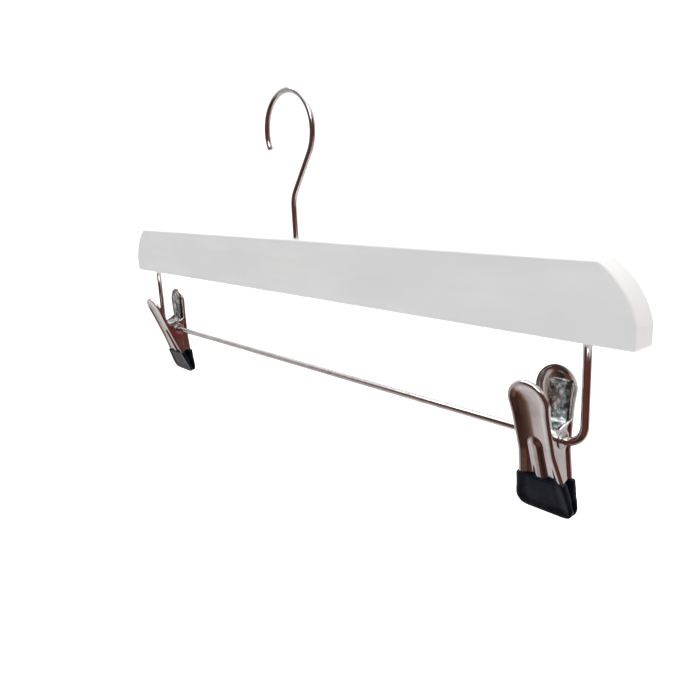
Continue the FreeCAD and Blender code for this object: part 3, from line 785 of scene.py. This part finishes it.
def springLine():
    # the strip's middle, seen from the side: down one leg, across its floor and up the other
    strip = springShape
    lean = math.radians(jawShape["lean"])
    face = -jawShape["reach"] + jawShape["sheet"] + jawShape["dish"] + strip["stand"]
    side = []
    for level in strip["heights"]:
        y = face + strip["topCurl"] * smoothStep(strip["heights"][2], strip["heights"][0], level)
        side.append(Vector((0, y * math.cos(lean) - level * math.sin(lean),
                            y * math.sin(lean) + level * math.cos(lean))))
    floor = strip["floor"] + strip["thick"] / 2
    heel = Vector((0, side[-1].y + strip["heelRun"], floor))
    toe = Vector((0, heel.y + strip["toeRun"], floor))
    bend = [side[-1].lerp(heel, t) * (1 - t) + heel.lerp(toe, t) * t for t in strip["bendShares"]]
    front = side + bend + [toe]
    return front + [Vector((0, -spot.y, spot.z)) for spot in front[::-1]]


def makeSpring(name, node, body, place):
    strip = springShape
    line = springLine()
    points = []
    for i, spot in enumerate(line):
        ahead = (line[min(i + 1, len(line) - 1)] - line[max(i - 1, 0)]).normalized()
        out = Vector((1, 0, 0)).cross(ahead) * strip["thick"] / 2
        share = strip["endWide"] if i in (0, len(line) - 1) else 1.0
        half = strip["wide"] / 2 * share
        for x, up in ((-half, out), (half, out), (half, -out), (-half, -out)):
            points.append((spot + up + Vector((x, 0, 0))) * mm)
    piece = pieceFrom(name, points, ringFaces(len(line), 4), place)
    softenEdges(piece, strip["softEdge"] * mm, 2, 50)
    applyModifiers(piece)
    zinc.paint(piece, "spring_steel")
    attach(piece, body)
    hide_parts(node)
    return piece


clipSwing = {"left": 11.0, "right": 4.7}  # degrees, thumb tabs towards the front


def makeClip(prefix):
    middle = centreOf(prefix + "_pivot_tube")
    hang = Matrix.Translation(middle) @ Matrix.Rotation(math.radians(clipSwing[prefix]), 4, "X")
    lean = Matrix.Rotation(math.radians(jawShape["lean"]), 4, "X")
    front = hang @ lean
    rear = hang @ Matrix.Rotation(math.pi, 4, "Z") @ lean
    makeTube(prefix + "_pivot_rivet", prefix + "_pivot_tube", prefix + "_pivot", hang)
    makeJaw(prefix + "_front_plate", prefix + "_front_jaw", prefix + "_lever", front)
    makeJaw(prefix + "_rear_plate", prefix + "_rear_jaw", prefix + "_clip", rear)
    makeBoot(prefix + "_front_boot", prefix + "_front_tip", prefix + "_lever", front)
    makeBoot(prefix + "_rear_boot", prefix + "_rear_tip", prefix + "_clip", rear)
    aside = hang @ Matrix.Translation((springShape["shift"][prefix] * mm, 0, 0))
    spring = makeSpring(prefix + "_leaf", prefix + "_spring", prefix + "_clip", aside)
    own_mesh(spring)


finishBar()
makeHook()
makeRod()
makeClip("left")
makeClip("right")
print("pieces made")


# floor, backdrop and light
floorShape = {
    "colour": (0.93, 0.93, 0.925),
    "worn": (0.89, 0.89, 0.89),
    "drop": 0.30,  # below the lowest part, metres
    "near": -3.0,
    "far": 1.6,
    "sweep": 1.2,  # radius of the backdrop's curve
    "tall": 4.0,
    "halfWide": 5.0,
    "steps": 24,
}


def makeFloor(ahead):
    paper = floorShape
    level = cadBox[0][2] - paper["drop"]
    profile = [(paper["near"], level), (paper["far"], level)]
    for i in range(1, paper["steps"] + 1):
        turn = math.pi / 2 * i / paper["steps"]
        out, up = math.sin(turn), 1 - math.cos(turn)
        profile.append((paper["far"] + paper["sweep"] * out, level + paper["sweep"] * up))
    profile.append((paper["far"] + paper["sweep"], level + paper["tall"]))
    # the backdrop stands square to the way the camera looks
    side = Vector((-ahead.y, ahead.x, 0))
    points = [ahead * away + side * end + Vector((0, 0, up))
              for away, up in profile for end in (-paper["halfWide"], paper["halfWide"])]
    faces = [(2 * i, 2 * i + 1, 2 * i + 3, 2 * i + 2) for i in range(len(profile) - 1)]
    floor = pieceFrom("floor", points, faces)
    look = Finish("palePaper", paper["colour"], 0.9)
    look.feed(colour=look.mix(look.spread(look.noise(3), 0, 0.2), paper["colour"], paper["worn"]))
    floor.data.materials.append(look.material)
    floor.visible_glossy = False  # the plating mirrors the room, not the paper


lampPlaces = {  # place, width and height in metres, watts, colour, and whether the plating mirrors it
    "keyLight": ((1.1, -1.3, 1.2), 1.0, 1.0, 12, (1.0, 0.99, 0.97), True),
    "endLight": ((1.5, 0.35, 0.1), 0.6, 0.6, 4.5, (1.0, 0.82, 0.75), False),
    "topLight": ((-0.4, 0.4, 3.0), 3.0, 3.0, 75, (1, 1, 1), True),
}
backdropLamp = {
    "near": 0.7,  # metres from the part's middle, the way the camera looks
    "up": 1.5,
    "aim": 2.4,
    "aimUp": -0.2,
    "wide": 3.0,
    "tall": 1.0,
    "watts": 55,
}


def softBox(name, target, place, wide, tall, power, colour, mirrored):
    data = bpy.data.lights.new(name, "AREA")
    data.shape = "RECTANGLE"
    data.size = wide
    data.size_y = tall
    data.energy = power
    data.color = colour
    lamp = bpy.data.objects.new(name, data)
    lamp.visible_camera = False
    lamp.visible_glossy = mirrored
    turn = (Vector(target) - Vector(place)).to_track_quat("-Z", "Y").to_matrix().to_4x4()
    lamp.matrix_world = Matrix.Translation(place) @ turn
    bpy.context.collection.objects.link(lamp)


roomLook = {
    "plain": (0.97, 0.97, 0.97),
    "ambient": (0.45, 0.455, 0.46),
    "overhead": (0.9, 0.9, 0.92),
    "overheadFrom": (0.45, 0.7),
    "darkSide": (0.6, -0.8, 0.05),  # where the unlit end of the room lies
    "uneven": (2.6, 3.0, 0.9),  # scale, detail and strength of the room's clutter
    "reach": (-0.55, 1.45),
    "redSide": (0.86, 0.42, -0.2),
    "redFrom": (0.95, 0.985),
    "red": (0.17, 0.024, 0.026),
    # from the bright side of the room round to the dark one
    "tones": (
        (0.10, (0.95, 0.93, 0.93)), (0.34, (0.62, 0.57, 0.58)), (0.50, (0.40, 0.345, 0.335)),
        (0.57, (0.18, 0.088, 0.056)), (0.66, (0.06, 0.026, 0.018)), (0.74, (0.012, 0.012, 0.016)),
        (0.84, (0.14, 0.05, 0.03)), (0.95, (0.12, 0.034, 0.024)),
    ),
}


def makeWorld():
    world = bpy.data.worlds.new("room")
    world.use_nodes = True
    tree = world.node_tree
    coords = tree.nodes.new("ShaderNodeTexCoord")
    rays = tree.nodes.new("ShaderNodeLightPath")

    def towards(direction):
        dot = tree.nodes.new("ShaderNodeVectorMath")
        dot.operation = "DOT_PRODUCT"
        dot.inputs[1].default_value = Vector(direction).normalized()
        tree.links.new(coords.outputs["Generated"], dot.inputs[0])
        return dot.outputs["Value"]

    def blend(share, first, second):
        mix = tree.nodes.new("ShaderNodeMix")
        mix.data_type = "RGBA"
        tree.links.new(share, mix.inputs["Factor"])
        for source, socket in ((first, mix.inputs["A"]), (second, mix.inputs["B"])):
            if isinstance(source, tuple):
                socket.default_value = (*source, 1)
            else:
                tree.links.new(source, socket)
        return mix.outputs["Result"]

    def shifted(source, low, high):
        spread = tree.nodes.new("ShaderNodeMapRange")
        spread.inputs["From Min"].default_value = low
        spread.inputs["From Max"].default_value = high
        tree.links.new(source, spread.inputs["Value"])
        return spread.outputs["Result"]

    def unevenTowards(direction):
        scale, detail, strength = roomLook["uneven"]
        noise = tree.nodes.new("ShaderNodeTexNoise")
        noise.inputs["Scale"].default_value = scale
        noise.inputs["Detail"].default_value = detail
        tree.links.new(coords.outputs["Generated"], noise.inputs["Vector"])
        uneven = tree.nodes.new("ShaderNodeMath")
        uneven.operation = "MULTIPLY_ADD"
        uneven.inputs[1].default_value = strength
        tree.links.new(noise.outputs["Fac"], uneven.inputs[0])
        tree.links.new(towards(direction), uneven.inputs[2])
        return uneven.outputs["Value"]

    ramp = tree.nodes.new("ShaderNodeValToRGB")
    elements = ramp.color_ramp.elements
    while len(elements) < len(roomLook["tones"]):
        elements.new(0.5)
    for element, (spot, colour) in zip(elements, roomLook["tones"]):
        element.position = spot
        element.color = (*colour, 1)
    tree.links.new(shifted(unevenTowards(roomLook["darkSide"]), *roomLook["reach"]), ramp.inputs["Fac"])
    redShare = shifted(towards(roomLook["redSide"]), *roomLook["redFrom"])
    room = blend(redShare, ramp.outputs["Color"], roomLook["red"])
    room = blend(shifted(towards((0, 0, 1)), *roomLook["overheadFrom"]), room, roomLook["overhead"])
    plain = blend(rays.outputs["Is Camera Ray"], roomLook["ambient"], roomLook["plain"])
    # only mirrored rays see the room: the camera sees plain paper and the parts a plain glow
    seen = blend(rays.outputs["Is Glossy Ray"], plain, room)
    tree.links.new(seen, tree.nodes["Background"].inputs["Color"])
    bpy.context.scene.world = world


def lightRoom():
    middle = (Vector(cadBox[0]) + Vector(cadBox[1])) / 2
    ahead = Vector((view["looks"][0], view["looks"][1], 0)).normalized()
    makeFloor(ahead)
    for name, lamp in lampPlaces.items():
        softBox(name, middle, *lamp)
    aim, place = ahead * backdropLamp["aim"], ahead * backdropLamp["near"]
    aim.z, place.z = backdropLamp["aimUp"], backdropLamp["up"]
    size = backdropLamp["wide"], backdropLamp["tall"]
    softBox("backLight", aim, place, *size, backdropLamp["watts"], (1, 1, 1), True)
    makeWorld()
    bpy.context.scene.view_settings.view_transform = "Standard"


lightRoom()
print("room lit")
